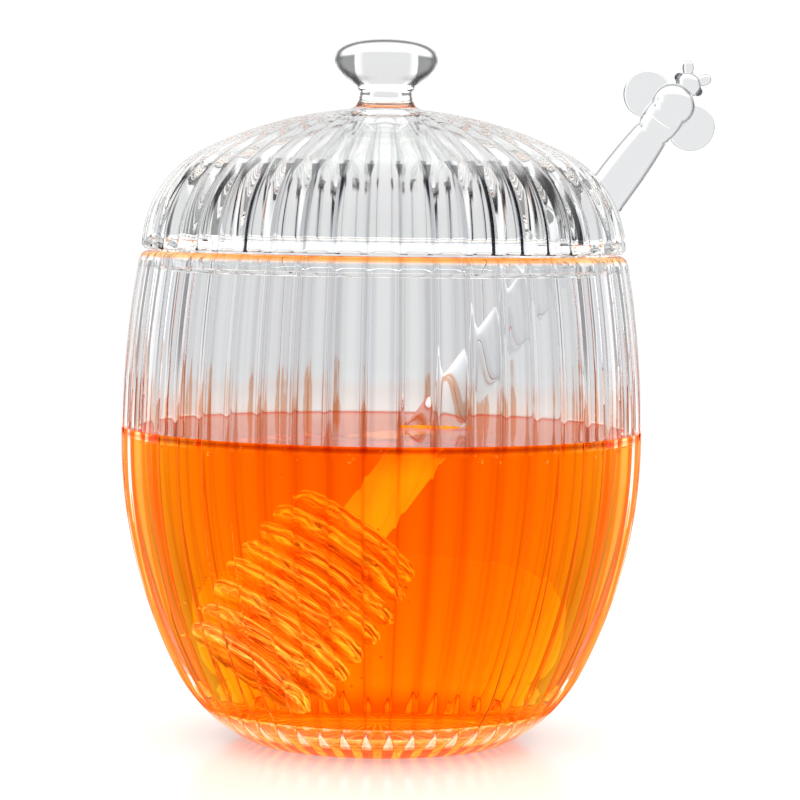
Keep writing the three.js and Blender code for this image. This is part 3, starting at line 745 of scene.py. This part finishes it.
# The dipper is lampworked from one rod of clear glass: eight rings drawn out of the head by hand, a long
# tapered stem, and on its end a small bee whose parts are melted on one after another.
head_length = 34 * mm
head_rings = 8
ring_thickness = 2.5 * mm
ring_spacing = (head_length - ring_thickness) / (head_rings - 1)
middle_ring_radius = 15.4 * mm
end_ring_radius = 13.2 * mm
core_radius = 6.0 * mm
dish_radius = 9.5 * mm
dish_depth = 2.2 * mm
stem_radius = 4.8 * mm
stem_tip_radius = 4.2 * mm
stem_length = 102.3 * mm
bee_place = 118.7 * mm
around_dipper = 96

hand = random.Random(11)
ring_tilts = [(hand.uniform(-0.45, 0.45) * mm, hand.uniform(0, 2 * pi)) for _ in range(head_rings)]
ring_leans = [(hand.uniform(0.0, 0.045), hand.uniform(0, 2 * pi)) for _ in range(head_rings)]


def ring_size(number):
    """Radius of one ring of the head, counted from the lower end: a barrel."""
    from_middle = 2 * number / (head_rings - 1) - 1
    bulge = (sqrt(1 - 0.9 * from_middle**2) - sqrt(0.1)) / (1 - sqrt(0.1))
    return end_ring_radius + (middle_ring_radius - end_ring_radius) * bulge


def dipper_section(grow):
    """Rings and stem in section about the dipper's own axis, grown by grow, with ring numbers."""
    start = -head_length / 2
    section = [(0, start + dish_depth - grow, 0), (1 * mm, start + dish_depth - grow, 0),
               (dish_radius * 0.6, start + dish_depth * 0.85 - grow, 0),
               (dish_radius * 0.85 - grow, start + dish_depth * 0.4 - grow, 0),
               (dish_radius + 0.5 * mm, start - grow, 0)]
    half = ring_thickness / 2 + grow
    core = core_radius + grow
    for number in range(head_rings):
        middle = start + ring_thickness / 2 + number * ring_spacing
        edge = ring_size(number) + grow - half
        if number:
            section += [(core + 0.1 * mm, middle - half - 0.35 * mm, number),
                        (core + 0.6 * mm, middle - half, number), (core + 3 * mm, middle - half, number)]
        section += [(x, z, number) for x, z in arc((edge, middle), half, -pi / 2, pi / 2, 8)]
        if number + 1 < head_rings:
            section += [(core + 3 * mm, middle + half, number), (core + 0.6 * mm, middle + half, number),
                        (core + 0.1 * mm, middle + half + 0.35 * mm, number)]
    top = start + head_length + grow
    last = head_rings - 1
    section += [(stem_radius + 1.6 * mm + grow, top, last),
                (stem_radius + 0.5 * mm + grow, top + 0.3 * mm, last),
                (stem_radius + grow, top + 1.2 * mm, last)]
    for i in range(1, 25):
        t = i / 24
        radius = stem_radius + (stem_tip_radius - stem_radius) * t + grow
        section.append((radius, top + 1.2 * mm + (stem_length - top - 1.2 * mm) * t, last))
    return section


def dipper_blank(name, grow):
    """The turned dipper with its rings bent a little out of true, as a hand draws them."""
    section = dipper_section(grow)
    last = head_rings - 1
    for i in range(1, 11):
        t = i / 10
        neck_radius = stem_tip_radius * (1 - 0.28 * t * t) + grow
        section.append((neck_radius, stem_length + (bee_place - stem_length) * t, last))
    section.append((0, bee_place, last))
    mesh = turned(name, [(x, z) for x, z, _ in section], around_dipper)
    face_outwards(mesh)
    for point in mesh.vertices:
        x, y, z = point.co
        distance = hypot(x, y)
        if z > head_length / 2 + 0.4 * mm or distance < core_radius:
            continue
        number = round((z + (head_length - ring_thickness) / 2) / ring_spacing)
        number = min(max(number, 0), head_rings - 1)
        out = (distance - core_radius) / (ring_size(number) - core_radius)
        tilt, tilt_turn = ring_tilts[number]
        lean, lean_turn = ring_leans[number]
        azimuth = atan2(y, x)
        stretch = 1 + lean * out * cos(azimuth - lean_turn)
        point.co = (x * stretch, y * stretch, z + tilt * out * cos(azimuth - tilt_turn))
    return mesh


def ball(shell, radii, place, columns=48, rows=32):
    """Adds a stretched ball to a shell."""
    scale = Matrix.Diagonal((*radii, 1))
    bmesh.ops.create_uvsphere(shell, u_segments=columns, v_segments=rows, radius=1,
                              matrix=Matrix.Translation(place) @ scale)


forward = 1.2 * mm
bee_head_place = bee_place + 8.5 * mm
eye_places = [Vector((side * 2.35 * mm, forward + 0.4 * mm, bee_head_place)) for side in (-1, 1)]


def bee():
    """The bee: body and chest, a pair of round wings, head, two eyes and two feelers, melted together."""
    shell = bmesh.new()
    ball(shell, (4.0 * mm, 3.9 * mm, 6.6 * mm), (0, forward, bee_place - 0.3 * mm))
    ball(shell, (4.3 * mm, 4.1 * mm, 4.2 * mm), (0, forward, bee_place + 3.3 * mm))
    ball(shell, (2.5 * mm, 2.4 * mm, 2.4 * mm), (0, forward, bee_head_place))
    for side in (-1, 1):
        lean = Matrix.Rotation(radians(-16), 4, "X") @ Matrix.Rotation(radians(12 * side), 4, "Z")
        wing = Matrix.Translation((side * 5.5 * mm, 0.3 * mm, bee_place + 2.2 * mm)) @ lean
        disc = wing @ Matrix.Diagonal((4.75 * mm, 1.2 * mm, 4.75 * mm, 1))
        made = bmesh.ops.create_uvsphere(shell, u_segments=48, v_segments=32, radius=1)
        for point in made["verts"]:
            # A fuller edge than a ball's: a pressed bead of glass.
            point.co.y = (1 if point.co.y > 0 else -1) * abs(point.co.y) ** 0.6
            point.co = disc @ point.co
        reach = Vector((side * 0.58, 0.0, 0.81))
        for step in range(8):
            spot = Vector((0, forward, bee_head_place)) + reach * (1.6 + 0.32 * step) * mm
            bulb = 0.98 if step < 5 else 1.12
            ball(shell, (bulb * mm, bulb * mm, bulb * mm), spot, 20, 12)
    for eye_place in eye_places:
        ball(shell, (0.95 * mm, 0.95 * mm, 0.95 * mm), eye_place, 24, 16)
    mesh = bpy.data.meshes.new("bee")
    shell.to_mesh(mesh)
    shell.free()
    figure = put_in_scene("bee", mesh)
    melt = figure.modifiers.new("melt", "REMESH")
    melt.mode = "VOXEL"
    melt.voxel_size = 0.2 * mm
    soften = figure.modifiers.new("soften", "SMOOTH")
    soften.iterations = 4
    soften.factor = 0.5
    return made_plain(figure)


# Flame-worked glass is a little wavier than pressed glass, over about 6 mm. Its bending values are low
# too, since it stands in honey that bends almost as much, and it reads by its edges and its soft waves.
flame_ripple = 6 * mm
stem_glass = clear_glass("lampworked_borosilicate_stem", "#F6F7F8", 1.02, flame_ripple, 0.03 * mm)
bee_glass = clear_glass("lampworked_borosilicate_bee", "#F8F9FA", 1.09, flame_ripple, 0.03 * mm)
# The bee's glass gets a painted dark edge and a faint painted glow.
paint_dark_edge_shade(bee_glass, "#6C6D72")
eye_glass = clear_glass("dark_glass_bead_eye", "#6A6B6F", 1.09, flame_ripple, 0.03 * mm)
bee_shader = bee_glass.node_tree.nodes["Principled BSDF"]
bee_shader.inputs["Emission Color"].default_value = linear("#FFFFFF")
bee_shader.inputs["Emission Strength"].default_value = 0.02
head_glass = clear_glass("lampworked_borosilicate_head", "#FFEEDC", 1.24, flame_ripple, 0.03 * mm)
drowned_glass = clear_glass("lampworked_borosilicate_in_honey", "#FFF4E8", 1.03, flame_ripple, 0.03 * mm)
stem_shader = stem_glass.node_tree.nodes["Principled BSDF"]
stem_shader.inputs["Specular Tint"].default_value = (0.25, 0.25, 0.25, 1.0)
drowned_shader = drowned_glass.node_tree.nodes["Principled BSDF"]
drowned_shader.inputs["Emission Color"].default_value = linear("#FFFFFF")
# A weak painted glow, stronger further down, keeps the stem in the honey as pale as the real one.
drowned_tree = drowned_glass.node_tree
drowned_place = drowned_tree.nodes.new("ShaderNodeTexCoord")
drowned_parts = node(drowned_tree, "ShaderNodeSeparateXYZ", {0: drowned_place.outputs["Object"]})
drowned_painted_glow = node(drowned_tree, "ShaderNodeMapRange",
                     {"Value": drowned_parts.outputs["Z"],
                      "From Min": honey_level - 9 * mm, "From Max": honey_level - 1 * mm,
                      "To Min": 0.3, "To Max": 0.03})
drowned_tree.links.new(drowned_painted_glow.outputs[0], drowned_shader.inputs["Emission Strength"])
# Painted light and shade on the head: pale painted highlights in fine threads about 1.3 mm apart,
# brightest near a ring's edge, painted dark lines between them, and painted shade in the grooves between
# the rings. The attribute along_dipper counts millimetres, and toward_rim runs from 0 at the core to 1 at
# a ring's edge.
thread_spacing = 1.3
head_tree = head_glass.node_tree
head_shader = head_tree.nodes["Principled BSDF"]
toward_rim = node(head_tree, "ShaderNodeAttribute", attribute_name="toward_rim")
along_dipper = node(head_tree, "ShaderNodeAttribute", attribute_name="along_dipper")
head_place = head_tree.nodes.new("ShaderNodeTexCoord")
head_waver = node(head_tree, "ShaderNodeTexNoise",
                  {"Vector": head_place.outputs["Object"], "Scale": 1 / (7 * mm), "Detail": 1.0})
waver_along = node(head_tree, "ShaderNodeMath",
                   {0: head_waver.outputs["Fac"], 1: 3.2}, operation="MULTIPLY")
shifted = node(head_tree, "ShaderNodeMath",
               {0: along_dipper.outputs["Fac"], 1: waver_along}, operation="ADD")
phase = node(head_tree, "ShaderNodeMath",
             {0: shifted, 1: 2 * pi / thread_spacing}, operation="MULTIPLY")
thread = node(head_tree, "ShaderNodeMath", {0: phase}, operation="SINE")
thread_highlight = node(head_tree, "ShaderNodeMapRange",
                   {"Value": thread, "From Min": 0.55, "From Max": 1.0, "To Min": 0.01, "To Max": 0.4},
                   interpolation_type="SMOOTHSTEP")
near_rim = node(head_tree, "ShaderNodeMapRange",
                {"Value": toward_rim.outputs["Fac"], "From Min": 0.5, "From Max": 1.0,
                 "To Min": 0.15, "To Max": 1.0}, interpolation_type="SMOOTHSTEP")
rim_highlight_glow = node(head_tree, "ShaderNodeMath", {0: thread_highlight, 1: near_rim}, operation="MULTIPLY")
thread_shade = node(head_tree, "ShaderNodeMapRange",
                   {"Value": thread, "From Min": -0.6, "From Max": -1.0, "To Min": 0.0, "To Max": 0.8},
                   interpolation_type="SMOOTHSTEP")
threaded = node(head_tree, "ShaderNodeMix",
                {"Factor": thread_shade, "A": linear("#FFEEDC"), "B": linear("#B86020")},
                data_type="RGBA")
groove_shade = node(head_tree, "ShaderNodeMapRange",
                    {"Value": toward_rim.outputs["Fac"], "From Min": 0.3, "From Max": 0.7,
                     "To Min": 0.6, "To Max": 0.0}, interpolation_type="SMOOTHSTEP")
grooved = node(head_tree, "ShaderNodeMix",
               {"Factor": groove_shade, "A": threaded.outputs["Result"], "B": linear("#D88848")},
               data_type="RGBA", blend_type="MULTIPLY")
head_tree.links.new(grooved.outputs["Result"], head_shader.inputs["Base Color"])
# The painted highlights glow on the pale threads.
head_shader.inputs["Emission Color"].default_value = linear("#FFFFFF")
head_tree.links.new(rim_highlight_glow.outputs[0], head_shader.inputs["Emission Strength"])

dipper = put_in_scene("glass_dipper", dipper_blank("glass_dipper", 0))
cut_or_join(dipper, bee(), "UNION")
rim_share = dipper.data.attributes.new("toward_rim", "FLOAT", "POINT")
along_share = dipper.data.attributes.new("along_dipper", "FLOAT", "POINT")
for i, point in enumerate(dipper.data.vertices):
    along_share.data[i].value = point.co.z / mm
    number = round((point.co.z + (head_length - ring_thickness) / 2) / ring_spacing)
    ring_edge = ring_size(min(max(number, 0), head_rings - 1))
    rim_share.data[i].value = (hypot(point.co.x, point.co.y) - core_radius) / (ring_edge - core_radius)
in_eye = [min((face.center - eye).length for eye in eye_places) < 1.0 * mm
          for face in dipper.data.polygons]
in_head = [face.center.z < head_length / 2 + 1.5 * mm for face in dipper.data.polygons]
dipper.data.transform(dipper_place)
dipper.data.polygons.foreach_set("use_smooth", [True] * len(dipper.data.polygons))
dipper.data.set_sharp_from_angle(angle=radians(60))
dipper.data.materials.clear()
for glass in (stem_glass, head_glass, drowned_glass, bee_glass, eye_glass):
    dipper.data.materials.append(glass)
for face, head, eye in zip(dipper.data.polygons, in_head, in_eye):
    if head:
        face.material_index = 1
    elif eye:
        face.material_index = 4
    elif face.center.z < honey_level:
        face.material_index = 2
    elif face.center.z > lid_bottom + 8 * mm:
        face.material_index = 3
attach(dipper, "root")
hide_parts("dipper")


# Clear runny honey fills the pot to a little above half. It wets the glass, so it meets the wall
# without an air gap and creeps up the wall and the stem; it is cut away where the dipper stands in it.
into_wall = 1.2 * mm
creep_height = 0.35 * mm
creep_width = 1.3 * mm
around_honey = 192
edge_radius_at_level = pot_inside(pot_wall, base_thickness, honey_level, (14, 20, 3))[-1][0]


def honey_body():
    """The honey as a turned body with a raised edge where it wets the wall and the stem."""
    side = pot_inside(pot_wall - into_wall, base_thickness - into_wall, honey_level, (14, 20, 3))
    edge_radius = side[-1][0]
    rings = 44
    top = [(edge_radius * (1 - i / rings) ** 0.8, honey_level) for i in range(1, rings)]
    top.append((0, honey_level))
    mesh = turned("runny_honey", side + top, around_honey)
    face_outwards(mesh)
    wall = edge_radius - into_wall
    crossing = head_centre + stem_direction * ((honey_level - head_centre.z) / stem_direction.z)
    for point in mesh.vertices:
        if point.co.z < honey_level - 0.01 * mm:
            continue
        from_wall = max(wall - hypot(point.co.x, point.co.y), 0)
        beside = point.co - crossing
        from_stem = max((beside - stem_direction * beside.dot(stem_direction)).length - stem_radius, 0)
        nearest = min(from_wall, from_stem)
        point.co.z += creep_height * 2.718 ** (-nearest / creep_width)
    return mesh


def honey_material(name, bending, painted_glow):
    """Clear acacia honey: it takes blue out of the light at once, green slowly and hardly any red."""
    material, tree, shader, output = new_material(name)
    shader.inputs["Base Color"].default_value = linear("#FFFFFF")
    shader.inputs["Transmission Weight"].default_value = 1.0
    shader.inputs["Roughness"].default_value = 0.0
    # Real honey bends light by 1.49, as glass nearly does, and that would hide the dipper, which the
    # photograph shows plainly. So the body has a low value, and its surface one that mirrors the wall.
    shader.inputs["IOR"].default_value = bending
    # The glow stands for the light that real honey scatters inside itself.
    shader.inputs["Emission Color"].default_value = linear("#FF4C00")
    shader.inputs["Emission Strength"].default_value = painted_glow
    absorb = node(tree, "ShaderNodeVolumeAbsorption")
    absorb.inputs["Color"].default_value = (0.99, 0.815, 0.0, 1.0)
    absorb.inputs["Density"].default_value = 134.0
    tree.links.new(absorb.outputs["Volume"], output.inputs["Volume"])
    return material


honey = put_in_scene("runny_honey", honey_body())
pocket = put_in_scene("dipper_pocket", dipper_blank("dipper_pocket", -0.06 * mm))
pocket.data.transform(dipper_place)
cut_or_join(honey, pocket, "DIFFERENCE")
honey.data.polygons.foreach_set("use_smooth", [True] * len(honey.data.polygons))
honey.data.set_sharp_from_angle(angle=radians(50))
honey.data.materials.clear()
honey.data.materials.append(honey_material("clear_runny_honey", 1.06, 0.06))
honey.data.materials.append(honey_material("level_honey_surface", 1.4, 0.0))
for face in honey.data.polygons:
    if face.normal.z > 0.5 and face.center.z > honey_level - 0.01 * mm:
        face.material_index = 1
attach(honey, "root")
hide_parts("honey")


# A few air bubbles hang in the honey: most of them under its surface along the wall, some round the head.
bubble_least = 0.14 * mm
bubble_most = 0.48 * mm
stir = random.Random(5)
bubble_places = []
for _ in range(90):
    turn = stir.uniform(0, 2 * pi)
    out = edge_radius_at_level - stir.uniform(0.6, 4.5) * mm
    bubble_places.append((out * cos(turn), out * sin(turn), honey_level - stir.uniform(0.7, 3.2) * mm))
for _ in range(46):
    turn = stir.uniform(0, 2 * pi)
    out = middle_ring_radius + stir.uniform(0.8, 3.0) * mm
    along = stir.uniform(-head_length / 2, head_length / 2)
    place = dipper_place @ Vector((out * cos(turn), out * sin(turn), along))
    if place.z > 9 * mm:
        bubble_places.append(tuple(place))


def bubble_tree():
    """Sets a ball of its own size on each place."""
    tree = bpy.data.node_groups.new("set_bubbles", "GeometryNodeTree")
    face = tree.interface
    face.new_socket("Places", in_out="INPUT", socket_type="NodeSocketGeometry")
    face.new_socket("Least Radius", in_out="INPUT", socket_type="NodeSocketFloat")
    face.new_socket("Most Radius", in_out="INPUT", socket_type="NodeSocketFloat")
    face.new_socket("Seed", in_out="INPUT", socket_type="NodeSocketInt")
    face.new_socket("Air", in_out="INPUT", socket_type="NodeSocketMaterial")
    face.new_socket("Bubbles", in_out="OUTPUT", socket_type="NodeSocketGeometry")
    given = tree.nodes.new("NodeGroupInput")
    size = node(tree, "FunctionNodeRandomValue", data_type="FLOAT")
    tree.links.new(given.outputs["Least Radius"], size.inputs[2])
    tree.links.new(given.outputs["Most Radius"], size.inputs[3])
    tree.links.new(given.outputs["Seed"], size.inputs["Seed"])
    bead = node(tree, "GeometryNodeMeshIcoSphere", {"Radius": 1.0, "Subdivisions": 3})
    smooth = node(tree, "GeometryNodeSetShadeSmooth", {"Geometry": bead.outputs["Mesh"]})
    beads = node(tree, "GeometryNodeInstanceOnPoints",
                 {"Points": given.outputs["Places"], "Instance": smooth, "Scale": size.outputs[1]})
    real = node(tree, "GeometryNodeRealizeInstances", {0: beads})
    coated = node(tree, "GeometryNodeSetMaterial", {"Geometry": real, "Material": given.outputs["Air"]})
    node(tree, "NodeGroupOutput", {0: coated})
    return tree


air_in_honey, _, air_shader, _ = new_material("air_bubble_in_honey")
air_shader.inputs["Base Color"].default_value = linear("#FFF4E0")
air_shader.inputs["Transmission Weight"].default_value = 1.0
air_shader.inputs["Roughness"].default_value = 0.0
# Light passes from the honey into air, so this value is below 1: the bubble's edge looks dark.
air_shader.inputs["IOR"].default_value = 0.78
bubble_mesh = bpy.data.meshes.new("air_bubbles")
bubble_mesh.from_pydata(bubble_places, [], [])
bubbles = put_in_scene("air_bubbles", bubble_mesh)
setting = bubbles.modifiers.new("set_bubbles", "NODES")
setting.node_group = bubble_tree()
bubble_sizes = {
    "Least Radius": bubble_least,
    "Most Radius": bubble_most,
    "Seed": 3,
    "Air": air_in_honey,
}
for item in setting.node_group.interface.items_tree:
    if item.in_out == "INPUT" and item.name in bubble_sizes:
        setting[item.identifier] = bubble_sizes[item.name]
made_plain(bubbles)
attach(bubbles, "root")


# The floor is a sheet of glossy white board under soft daylight, and it fades into a white surround.
floor_radius = 420 * mm
floor_shell = bmesh.new()
bmesh.ops.create_circle(floor_shell, cap_ends=True, segments=128, radius=floor_radius)
floor_mesh = bpy.data.meshes.new("floor")
floor_shell.to_mesh(floor_mesh)
floor_shell.free()
floor_mesh.transform(Matrix.Translation((0, 0, -0.05 * mm)))
white_board, _, board_shader, _ = new_material("glossy_white_board")
# Gloss-coated card: a soft mirror image of the foot, and a little light of its own that thins shadows.
board_shader.inputs["Base Color"].default_value = linear("#CCCCBF")
board_shader.inputs["Roughness"].default_value = 0.16
board_shader.inputs["IOR"].default_value = 1.36
board_shader.inputs["Emission Color"].default_value = linear("#FFFFFF")
board_shader.inputs["Emission Strength"].default_value = 0.31
floor_mesh.materials.append(white_board)
floor = put_in_scene("floor", floor_mesh)


# The light is one large white surround. Eight tall dark cards stand between its bright sides and give the
# glass its dark edges; they show only through and in the glass, so the background itself stays white.
card_count = 8
world = bpy.data.worlds.new("studio")
bpy.context.scene.world = world
world.use_nodes = True
sky = world.node_tree
sky.nodes.clear()
direction = node(sky, "ShaderNodeTexCoord")
parts = node(sky, "ShaderNodeSeparateXYZ", {0: direction.outputs["Generated"]})
bearing = node(sky, "ShaderNodeMath",
               {0: parts.outputs["Y"], 1: parts.outputs["X"]}, operation="ARCTAN2")
card_turns = node(sky, "ShaderNodeMath", {0: bearing, 1: card_count}, operation="MULTIPLY")
wave = node(sky, "ShaderNodeMath", {0: card_turns}, operation="COSINE")
card_shade = node(sky, "ShaderNodeMapRange",
                  {"Value": parts.outputs["Z"], "From Min": -0.06, "From Max": -0.02,
                   "To Min": 1.0, "To Max": 0.3}, interpolation_type="SMOOTHSTEP")
cards = node(sky, "ShaderNodeMapRange",
             {"Value": wave, "From Min": -0.4, "From Max": -0.25, "To Min": card_shade, "To Max": 1.0},
             interpolation_type="SMOOTHSTEP")
beside = node(sky, "ShaderNodeMapRange",
              {"Value": wave, "From Min": -0.1, "From Max": 0.4, "To Min": 0.3, "To Max": 0.0},
              interpolation_type="SMOOTHSTEP")
card_top = node(sky, "ShaderNodeMapRange",
                {"Value": parts.outputs["Z"], "From Min": 0.42, "From Max": 0.5,
                 "To Min": 0.0, "To Max": 1.0}, interpolation_type="SMOOTHSTEP")
card_light = node(sky, "ShaderNodeMath", {0: cards, 1: card_top}, operation="MAXIMUM")
height_light = node(sky, "ShaderNodeMapRange",
                    {"Value": parts.outputs["Z"], "From Min": -0.095, "From Max": -0.05,
                     "To Min": 1.35, "To Max": 0.82}, interpolation_type="SMOOTHSTEP")
overhead = node(sky, "ShaderNodeMapRange",
                {"Value": parts.outputs["Z"], "From Min": 0.66, "From Max": 0.8,
                 "To Min": 0.0, "To Max": 2.6}, interpolation_type="SMOOTHSTEP")
around = node(sky, "ShaderNodeMath", {0: height_light, 1: beside}, operation="ADD")
level = node(sky, "ShaderNodeMath", {0: around, 1: overhead}, operation="ADD")
brightness = node(sky, "ShaderNodeMath", {0: level, 1: card_light}, operation="MULTIPLY")
seen = node(sky, "ShaderNodeLightPath")
shown = node(sky, "ShaderNodeMix",
             {"Factor": seen.outputs["Is Camera Ray"], "A": brightness, "B": 1.05})
surround = node(sky, "ShaderNodeBackground", {"Color": (1, 1, 1, 1), "Strength": shown})
node(sky, "ShaderNodeOutputWorld", {"Surface": surround})


# The camera stands 0.6 m in front at the height of the pot's rim, with a long lens, as in the photograph.
camera_distance = 600 * mm
camera_height = 103.3 * mm
look_down = radians(3.62)
look_right = radians(0.333)
roll = radians(0.77)
lens_data = bpy.data.cameras.new("camera")
lens_data.sensor_width = 36
lens_data.lens = 140.3
lens_data.clip_start = 10 * mm
camera = bpy.data.objects.new("camera", lens_data)
bpy.context.scene.collection.objects.link(camera)
aim = Matrix.Rotation(-look_right, 4, "Z") @ Matrix.Rotation(pi / 2 - look_down, 4, "X")
aim = aim @ Matrix.Rotation(roll, 4, "Z")
camera.matrix_world = Matrix.Translation((0, -camera_distance, camera_height)) @ aim
bpy.context.scene.camera = camera

# Light crosses many walls of glass here, so it may pass through them often before it is given up.
scene = bpy.context.scene
scene.view_settings.view_transform = "Standard"
scene.view_settings.look = "None"
scene.cycles.max_bounces = 32
scene.cycles.transmission_bounces = 32
scene.cycles.glossy_bounces = 8
scene.cycles.diffuse_bounces = 3
scene.cycles.use_denoising = True
scene.cycles.caustics_refractive = True
scene.cycles.caustics_reflective = True
